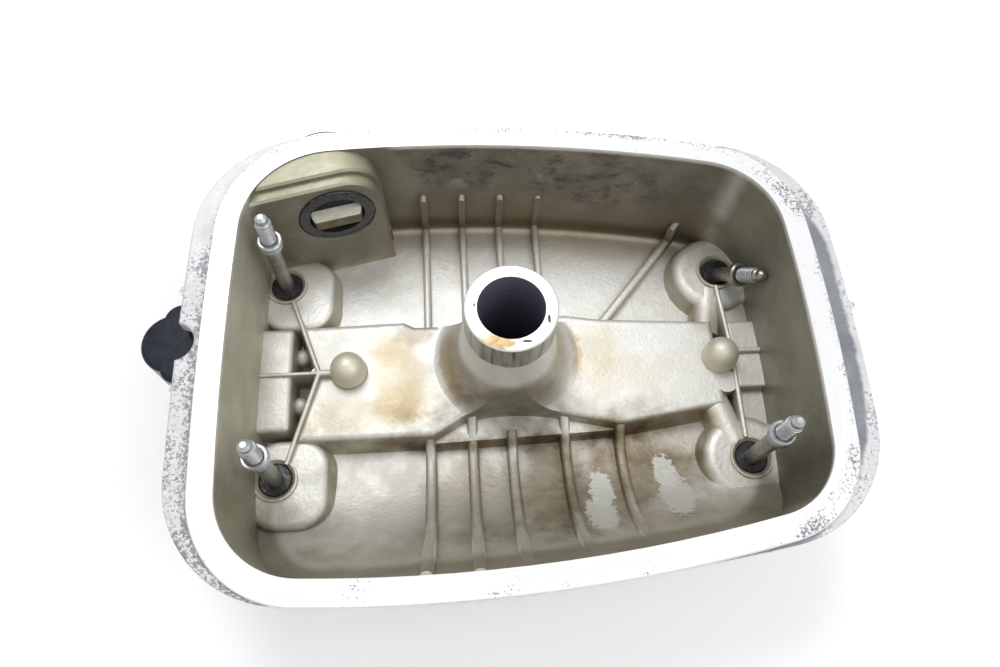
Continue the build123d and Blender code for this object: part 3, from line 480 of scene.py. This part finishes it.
def golden_places(s, colour):
    """Golden tint of the filler boss and of the two ball posts; on the boss, painted shade darkens
    the upright faces and painted light brightens the upward ones.
    """
    boss = s.near((-78, 70, -26), (42, 28, 44), 0.16)
    # painted shade on the boss's upright faces, painted light on its upward faces
    shaded_riser = s.ramp(s.middle, (0.30, (0.20, 0.182, 0.138)), (0.70, (0.27, 0.248, 0.195)))
    lit_roof = s.ramp(s.middle, (0.30, (0.36, 0.352, 0.250)), (0.70, (0.48, 0.470, 0.355)))
    colour = s.blend(boss, colour, s.blend(s.between(s.nz, 0.35, 0.85), shaded_riser, lit_roof))
    posts = s.math("MAXIMUM", *(s.near(centre, size, 0.1) for centre, size in BALL_POSTS))
    return s.blend(s.times(posts, 0.9), colour, (0.70, 0.67, 0.54))


def darker_corner_and_crest_shade(s, colour):
    """Darker and browner in the corner of floor and far wall, and painted shade on the tops of the
    near ribs just inside the rim.
    """
    foot = s.between(s.wobbled(s.away, s.middle, 9.0), -17.0, -6.0)
    foot = s.times(foot, s.between(s.z, -0.048, -0.054), s.between(s.y, 0.035, 0.050))
    colour = s.blend(s.times(foot, 0.7), colour, (0.60, 0.53, 0.42), "MULTIPLY")
    # painted shade: darkens the near ribs' tops where they come up to the rim
    crest = s.times(s.between(s.away, -9.0, -5.0), s.between(s.z, -0.0008, -0.0016))
    crest = s.times(crest, s.between(s.y, -0.050, -0.060))
    return s.blend(s.times(crest, 0.9), colour, (0.52, 0.50, 0.44), "MULTIPLY")


def inner_faces(s):
    """1 on the faces inside the cavity, 0 on the casting's outer side."""
    inward = s.plus(s.times(s.nx, s.x), s.times(s.ny, s.y))
    inner_wall = s.times(s.between(inward, -0.01, -0.03), s.between(s.away, 9.0, 7.0))
    inner = s.math("MAXIMUM", s.between(s.away, 1.8, 0.8), inner_wall)
    return s.times(inner, s.between(s.z, -0.0625, -0.0615), s.between(s.nz, -0.10, -0.03))


def tube_tones(s, colour):
    """Turned outside of the tube's mouth with dark streaks, and its dark bore."""
    reach = s.length(s.x, s.y)
    outside = s.times(s.between(reach, 0.0168, 0.0171), s.between(reach, 0.0190, 0.0184))
    turned = s.times(outside, s.between(s.z, -0.0004, -0.0008))
    turned = s.times(turned, s.between(s.wobbled(s.z, s.middle, 0.006), -0.0165, -0.0145))
    smooth = s.ramp(
        s.noise(420.0, 4.0, 0.65, s.stretched((1.0, 1.0, 0.07))),
        (0.32, (0.055, 0.052, 0.058)),
        (0.46, (0.30, 0.29, 0.28)),
        (0.70, (0.46, 0.45, 0.43)),
    )
    colour = s.blend(turned, colour, smooth)
    bore = s.times(s.between(reach, 0.01300, 0.01280), s.between(s.z, -0.0003, -0.0006))
    rings = s.between(s.math("SINE", s.times(s.z, 1250.0)), 0.86, 0.98)
    rings = s.times(rings, s.between(s.z, -0.009, -0.013))
    sleeve = s.blend(s.times(rings, 0.7), (0.150, 0.155, 0.205), (0.26, 0.265, 0.33))
    return s.blend(bore, colour, sleeve), turned, bore


def machined_faces(s, colour):
    """Machined rim and tube mouth, with scribed lines, sealant specks and an ochre stain."""
    machined = s.times(s.between(s.z, -0.00045, -0.00025), s.between(s.nz, 0.80, 0.95))
    lines = s.plus(s.times(s.away, 1.7), s.times(s.middle, 1.4))
    bright = s.ramp(
        s.noise(1.0, 3.0, 0.6, s.joined(lines, s.times(s.y, 14.0), s.times(s.x, 14.0))),
        (0.30, (0.80, 0.81, 0.83)),
        (0.48, (0.855, 0.86, 0.88)),
        (0.64, (0.875, 0.88, 0.90)),
    )

    # the specks are dense where sealant was squeezed out, and fewer inwards
    far_side = s.times(s.between(s.y, 0.040, 0.060), s.between(s.x, 0.085, 0.065))
    amount = s.level(far_side, s.level(s.right_side, 0.035, 0.080), 0.095)
    worn = s.times(s.between(s.away, 4.6, 8.9), amount)
    specks = s.between(s.plus(s.density, worn), 0.600, 0.640)
    bright = s.blend(s.times(specks, 0.85), bright, s.sealant)
    colour = s.blend(machined, colour, bright)

    stain = s.times(machined, s.near((-6.6, -13.8, 0), (8.2, 3.4, 2), 0.7, s.fine, 0.7))
    rusty = s.ramp(s.fine, (0.30, (0.20, 0.11, 0.03)), (0.65, (0.56, 0.38, 0.13)))
    colour = s.blend(s.times(stain, 0.92), colour, rusty)
    for centre, size in MOUTH_MARKS:
        mark = s.near(centre, size, 0.5, s.fine, 1.2)
        colour = s.blend(s.times(machined, mark), colour, (0.05, 0.045, 0.05))
    return colour, machined


def cast_lips(s, colour):
    """The as-cast lips at both ends, with old sealant on them."""
    lip = s.times(s.between(s.z, -0.0032, -0.0026), s.between(s.z, -0.0007, -0.0011))
    lip = s.times(lip, s.between(s.nz, 0.4, 0.7), s.between(s.away, 7.0, 7.6))
    pale = s.ramp(s.middle, (0.30, (0.55, 0.56, 0.565)), (0.70, (0.74, 0.75, 0.765)))
    hood_side = s.between(s.y, 0.040, 0.005)
    outer_amount = s.level(hood_side, -0.010, 0.065)
    squeezed_amount = s.level(hood_side, 0.075, 0.115)
    left_amount = s.level(s.between(s.away, 13.5, 9.2), outer_amount, squeezed_amount)
    right_amount = s.level(s.between(s.away, 15.5, 12.5), 0.040, 0.070)
    amount = s.level(s.right_side, left_amount, right_amount)
    specks = s.between(s.plus(s.density, amount), 0.560, 0.620)
    strength = s.level(s.right_side, 0.80, 0.70)
    lip_colour = s.blend(s.times(specks, strength), pale, s.sealant)

    # smooth dark stripe beside the machined band at the right end
    border = s.wobbled(s.wobbled(s.away, s.clouds, 5.0), s.grains, 3.0)
    stripe = s.times(s.between(border, 15.0, 13.2), s.between(s.away, 7.6, 8.6))
    stripe = s.times(stripe, s.between(s.x, 0.058, 0.082))
    slate = s.ramp(s.middle, (0.30, (0.150, 0.156, 0.182)), (0.70, (0.27, 0.28, 0.31)))
    lip_colour = s.blend(s.times(stripe, 0.95), lip_colour, slate)
    return s.blend(lip, colour, lip_colour), lip


def cast_aluminium():
    s = CastingShader()
    skin = bare_casting(s)
    used = skin
    for layer in (oil_and_shade_on_steep_sides, wall_tones_and_shade, oil_stains_and_shade, golden_places, darker_corner_and_crest_shade):
        used = layer(s, used)
    colour = s.blend(inner_faces(s), skin, used)
    colour, turned, bore = tube_tones(s, colour)
    colour, machined = machined_faces(s, colour)
    colour, lip = cast_lips(s, colour)

    smooth = s.math("MAXIMUM", machined, s.math("MAXIMUM", turned, bore))
    rough = s.level(smooth, s.level(s.between(s.middle, 0.3, 0.7), 0.54, 0.45), 0.30)
    metal = s.level(bore, s.level(machined, s.level(lip, 0.50, 0.15), 0.30), 0.0)
    grain = s.times(s.noise(1100.0, 3.0, 0.6), 0.35)
    pits = s.times(s.cells(700.0), 0.25)
    swell = s.times(s.noise(560.0, 2.0, 0.5), 0.5)
    normal = s.bump(s.plus(grain, pits, swell), 0.00045, s.level(smooth, 0.45, 0.0))
    return s.finish(colour, rough, metal, normal)


# ---------------------------------------------------------------- the other materials
def zinc_steel():
    """Bolt steel: oily low down, bright at the threaded end."""
    s = Shader("zinc_plated_bolt")
    z = s.axes(s.place)[2]
    mottled = s.noise(420.0, 4.0, 0.6)
    bright = s.ramp(
        mottled,
        (0.30, (0.42, 0.43, 0.44)),
        (0.55, (0.58, 0.60, 0.62)),
        (0.75, (0.70, 0.72, 0.74)),
    )
    oiled = s.ramp(
        mottled,
        (0.30, (0.22, 0.22, 0.195)),
        (0.60, (0.32, 0.32, 0.295)),
        (0.80, (0.42, 0.42, 0.395)),
    )
    colour = s.blend(s.between(z, -0.024, -0.014), oiled, bright)
    normal = s.bump(s.noise(2600.0, 2.0, 0.5), 0.00008, 0.4)
    return s.finish(colour, s.level(mottled, 0.42, 0.30), 0.85, normal)


def plain_zinc(name, low, high):
    s = Shader(name)
    mottled = s.noise(700.0, 4.0, 0.6)
    colour = s.ramp(mottled, (0.30, low), (0.70, high))
    normal = s.bump(s.noise(2600.0, 2.0, 0.5), 0.00006, 0.4)
    return s.finish(colour, s.level(mottled, 0.40, 0.28), 0.85, normal)


def oily_rubber():
    s = Shader("oily_rubber")
    mottled = s.noise(500.0, 3.0, 0.6)
    colour = s.ramp(mottled, (0.30, (0.012, 0.012, 0.016)), (0.75, (0.050, 0.047, 0.052)))
    normal = s.bump(s.noise(700.0, 3.0, 0.6), 0.00035, 0.6)
    return s.finish(colour, s.level(mottled, 0.10, 0.22), 0.0, normal)


def moulded_plastic(name, rough_low, rough_high):
    s = Shader(name)
    mottled = s.noise(240.0, 4.0, 0.6)
    colour = s.ramp(mottled, (0.30, (0.011, 0.0135, 0.0215)), (0.75, (0.021, 0.0255, 0.038)))
    normal = s.bump(s.noise(900.0, 2.0, 0.5), 0.00010, 0.3)
    s.surface.inputs["Specular IOR Level"].default_value = 0.18
    return s.finish(colour, s.level(mottled, rough_low, rough_high), 0.0, normal)


def key_bar_metal():
    """Pale on top and dark on the upright sides, painted light and shade set by facing."""
    s = Shader("key_bar_metal")
    mottled = s.noise(300.0, 4.0, 0.6)
    nz = s.axes(s.facing)[2]
    top = s.ramp(
        mottled,
        (0.25, (0.72, 0.67, 0.53)),
        (0.6, (0.88, 0.84, 0.72)),
        (0.8, (0.94, 0.92, 0.83)),
    )
    shaded_front = s.ramp(
        mottled,
        (0.25, (0.08, 0.058, 0.030)),
        (0.6, (0.15, 0.118, 0.068)),
        (0.8, (0.24, 0.20, 0.125)),
    )
    # painted light on the upward faces, painted shade on the upright ones
    colour = s.blend(s.between(nz, 0.2, 0.6), shaded_front, top)
    normal = s.bump(s.noise(1300.0, 2.0, 0.5), 0.0001, 0.4)
    return s.finish(colour, s.level(mottled, 0.45, 0.32), 0.10, normal)


# ---------------------------------------------------------------- cast forms of the left end
FORMS_FOOT = -61.5
HUB = (-77.3, -4.9)
HUB_TOP = -44.2
PAD_LOW_CORNER = (-104.0, -28.6, FORMS_FOOT)
PAD_HIGH_CORNER = (-88.6, 16.4, -46.5)
PAD_DRAFT = 0.9
PAD_EDGE = 2.2
BUMP_PLACES = ((-86.4, 6.4, -57.0), (-86.3, -15.2, -57.0))
BUMP_RADIUS = 4.3

# start, end, width, and the crest's height at the start and at the end
HUB_RIBS = (
    (HUB, (-89.9, 29.4), 1.9, (HUB_TOP, -47.4)),
    (HUB, (-89.2, -41.6), 1.9, (HUB_TOP, -47.4)),
    ((-103.6, -4.6), HUB, 1.6, (-45.4, HUB_TOP)),
    (HUB, (-68.0, -4.6), 2.8, (HUB_TOP, -44.6)),
)
RIB_SPREAD = 0.5
CREST_STEPS = 8
SHARP_ANGLE = math.radians(42)


def add_rib(shell, start, end, width, tops):
    """Closed upright rib with a rounded crest, its top running from one height to another."""
    start, end = Vector(start), Vector(end)
    side = Vector((start.y - end.y, end.x - start.x)).normalized()
    half = width / 2
    rings = []
    for place, top in ((start, tops[0]), (end, tops[1])):
        profile = [(half + RIB_SPREAD, FORMS_FOOT)]
        for step in range(CREST_STEPS + 1):
            turn = math.pi * step / CREST_STEPS
            profile.append((half * math.cos(turn), top - half + half * math.sin(turn)))
        profile.append((-half - RIB_SPREAD, FORMS_FOOT))
        corners = [
            (place.x + side.x * across, place.y + side.y * across, height)
            for across, height in profile
        ]
        rings.append([shell.verts.new(Vector(corner) * MM) for corner in corners])
    first, second = rings
    count = len(first)
    for index in range(count):
        after = (index + 1) % count
        shell.faces.new((first[index], first[after], second[after], second[index]))
    shell.faces.new(first)
    shell.faces.new(second)


def add_pad(shell):
    """The end pad: a closed drafted block with rounded upper edges."""
    block = bmesh.new()
    bmesh.ops.create_cube(block, size=1.0)
    for vert in block.verts:
        spread = PAD_DRAFT if vert.co.z < 0 else 0.0
        for axis in range(3):
            high = vert.co[axis] > 0
            value = PAD_HIGH_CORNER[axis] if high else PAD_LOW_CORNER[axis]
            if axis < 2:
                value += spread if high else -spread
            vert.co[axis] = value * MM
    almost_top = (PAD_HIGH_CORNER[2] - 0.1) * MM
    upper = [e for e in block.edges if max(v.co.z for v in e.verts) > almost_top]
    bmesh.ops.bevel(
        block, geom=upper, offset=PAD_EDGE * MM, segments=5, profile=0.5, affect="EDGES"
    )
    mesh = bpy.data.meshes.new("block")
    block.to_mesh(mesh)
    block.free()
    shell.from_mesh(mesh)
    bpy.data.meshes.remove(mesh)


def add_left_end(material):
    """Pad at the end wall, its two bumps and the thin ribs that meet beside the ball post."""
    forms = {"end_pad": bmesh.new(), "end_bumps": bmesh.new(), "hub_ribs": bmesh.new()}
    add_pad(forms["end_pad"])
    for place in BUMP_PLACES:
        bmesh.ops.create_uvsphere(
            forms["end_bumps"],
            u_segments=32,
            v_segments=20,
            radius=BUMP_RADIUS * MM,
            matrix=Matrix.Translation(Vector(place) * MM),
        )
    for rib in HUB_RIBS:
        add_rib(forms["hub_ribs"], *rib)
    for name, shell in forms.items():
        bmesh.ops.recalc_face_normals(shell, faces=shell.faces)
        mesh = bpy.data.meshes.new(name)
        shell.to_mesh(mesh)
        shell.free()
        mesh.materials.append(material)
        mesh.polygons.foreach_set("use_smooth", [True] * len(mesh.polygons))
        mesh.set_sharp_from_angle(angle=SHARP_ANGLE)
        piece = bpy.data.objects.new(name, mesh)
        scene.collection.objects.link(piece)
        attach(piece, "cover")


# ---------------------------------------------------------------- rolled threads of the bolts
THREAD_TURNS = 10.4
THREAD_RADIUS = 3.0
THREAD_PITCH = 1.0
THREAD_RIDGE = 0.30
THREADED_END = 15.5  # from the bolt's tip down to its collar
THREAD_RUN_OUT = 0.5


def thread_group():
    """Geometry Nodes tree: a helical ridge along +Z, a four-sided profile swept on a spiral."""
    tree = bpy.data.node_groups.new("rolled_thread", "GeometryNodeTree")
    face = tree.interface
    face.new_socket("Geometry", in_out="INPUT", socket_type="NodeSocketGeometry")
    for name in ("Turns", "Radius", "Pitch", "Ridge"):
        face.new_socket(name, in_out="INPUT", socket_type="NodeSocketFloat")
    face.new_socket("Finish", in_out="INPUT", socket_type="NodeSocketMaterial")
    face.new_socket("Geometry", in_out="OUTPUT", socket_type="NodeSocketGeometry")
    add = tree.nodes.new
    link = tree.links.new
    inputs = add("NodeGroupInput")
    result = add("NodeGroupOutput")

    height = add("ShaderNodeMath")
    height.operation = "MULTIPLY"
    link(inputs.outputs["Turns"], height.inputs[0])
    link(inputs.outputs["Pitch"], height.inputs[1])

    spiral = add("GeometryNodeCurveSpiral")
    spiral.inputs["Resolution"].default_value = 28
    link(inputs.outputs["Turns"], spiral.inputs["Rotations"])
    link(inputs.outputs["Radius"], spiral.inputs["Start Radius"])
    link(inputs.outputs["Radius"], spiral.inputs["End Radius"])
    link(height.outputs[0], spiral.inputs["Height"])
    upright = add("GeometryNodeSetCurveNormal")
    upright.mode = "Z_UP"
    link(spiral.outputs["Curve"], upright.inputs["Curve"])

    profile = add("GeometryNodeCurvePrimitiveCircle")
    profile.inputs["Resolution"].default_value = 4
    link(inputs.outputs["Ridge"], profile.inputs["Radius"])
    sweep = add("GeometryNodeCurveToMesh")
    sweep.inputs["Fill Caps"].default_value = True
    link(upright.outputs["Curve"], sweep.inputs["Curve"])
    link(profile.outputs["Curve"], sweep.inputs["Profile Curve"])

    realize = add("GeometryNodeRealizeInstances")
    link(sweep.outputs["Mesh"], realize.inputs["Geometry"])
    paint = add("GeometryNodeSetMaterial")
    link(realize.outputs["Geometry"], paint.inputs["Geometry"])
    link(inputs.outputs["Finish"], paint.inputs["Material"])
    link(paint.outputs["Geometry"], result.inputs["Geometry"])
    return tree


def add_threads():
    """One helical thread on each shoulder bolt, riding on it."""
    tree = thread_group()
    inputs = [item for item in tree.interface.items_tree if item.in_out == "INPUT"]
    sockets = {item.name: item.identifier for item in inputs}
    finish = plain_zinc("bright_zinc_thread", (0.50, 0.52, 0.54), (0.78, 0.80, 0.83))
    for name, (place, slope, top) in BOLTS.items():
        seed = bpy.data.meshes.new("seed")
        seed.from_pydata([(0, 0, 0)], [], [])
        source = bpy.data.objects.new("thread_source_" + name, seed)
        scene.collection.objects.link(source)
        builder = source.modifiers.new("rolled_thread", "NODES")
        builder.node_group = tree
        builder[sockets["Turns"]] = THREAD_TURNS
        builder[sockets["Radius"]] = THREAD_RADIUS * MM
        builder[sockets["Pitch"]] = THREAD_PITCH * MM
        builder[sockets["Ridge"]] = THREAD_RIDGE * MM
        builder[sockets["Finish"]] = finish
        bpy.context.view_layer.update()
        shown = source.evaluated_get(bpy.context.evaluated_depsgraph_get())
        mesh = bpy.data.meshes.new_from_object(shown)
        mesh.name = "thread_" + name
        bpy.data.objects.remove(source)

        axis = Vector((slope[0], slope[1], 1.0)).normalized()
        pivot = Vector((place[0], place[1], BOLT_PIVOT)) * MM
        start = pivot + axis * (top - THREADED_END + THREAD_RUN_OUT) * MM
        turn = axis.to_track_quat("Z", "Y").to_matrix().to_4x4()
        mesh.transform(Matrix.Translation(start) @ turn)
        shell = bmesh.new()
        shell.from_mesh(mesh)
        bmesh.ops.recalc_face_normals(shell, faces=shell.faces)
        shell.to_mesh(mesh)
        shell.free()
        piece = bpy.data.objects.new("thread_" + name, mesh)
        scene.collection.objects.link(piece)
        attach(piece, "bolt_" + name)


# ---------------------------------------------------------------- floor, light and background
FLOOR_HALF = 3.0
FLOOR_WHITE = (0.97, 0.975, 0.99)
WORLD_STRENGTH = 0.75
LAMP_AIM = (0, 0, -0.04)

# name, place and diameter in metres, and power in watts
LAMPS = (
    ("key_lamp", (-0.20, 0.60, 1.2), 0.66, 7.0),
    ("fill_lamp", (0.8, -0.4, 1.1), 1.0, 5.0),
)


def add_floor():
    low = cad_bounds[0][2]
    signs = ((-1, -1), (1, -1), (1, 1), (-1, 1))
    corners = [(across * FLOOR_HALF, along * FLOOR_HALF, low) for across, along in signs]
    mesh = bpy.data.meshes.new("floor")
    mesh.from_pydata(corners, [], [(0, 1, 2, 3)])
    floor = bpy.data.objects.new("floor", mesh)
    scene.collection.objects.link(floor)
    floor.data.materials.append(Shader("floor_white").finish(FLOOR_WHITE, 0.7))


def add_light():
    world = bpy.data.worlds.new("soft_white")
    scene.world = world
    world.use_nodes = True
    tree = world.node_tree
    tree.nodes.clear()
    output = tree.nodes.new("ShaderNodeOutputWorld")
    plain = tree.nodes.new("ShaderNodeBackground")
    plain.inputs["Color"].default_value = (1.0, 1.0, 1.0, 1.0)
    plain.inputs["Strength"].default_value = WORLD_STRENGTH
    tree.links.new(plain.outputs[0], output.inputs["Surface"])

    for name, place, size, power in LAMPS:
        data = bpy.data.lights.new(name, "AREA")
        data.shape = "DISK"
        data.size = size
        data.energy = power
        lamp = bpy.data.objects.new(name, data)
        scene.collection.objects.link(lamp)
        lamp.location = place
        away = Vector(LAMP_AIM) - Vector(place)
        lamp.rotation_euler = away.to_track_quat("-Z", "Y").to_euler()
    scene.view_settings.view_transform = "Standard"


set_camera()
casting_finish = cast_aluminium()
dress("cover_casting", casting_finish)
add_left_end(casting_finish)
bolt_finish = zinc_steel()
washer_finish = plain_zinc("zinc_plated_washer", (0.34, 0.35, 0.35), (0.55, 0.56, 0.57))
rubber = oily_rubber()
for place in BOLTS:
    dress("bolt_" + place, bolt_finish)
    dress("washer_" + place, washer_finish)
    dress("grommet_" + place, rubber)
dress("filler_seal", rubber)
dress("plug_o_ring", rubber)
dress("filler_plug", moulded_plastic("black_plug_plastic", 0.35, 0.5))
dress("plug_cover", moulded_plastic("glossy_black_plastic", 0.14, 0.26))
dress("plug_key", key_bar_metal())
add_threads()
add_floor()
add_light()
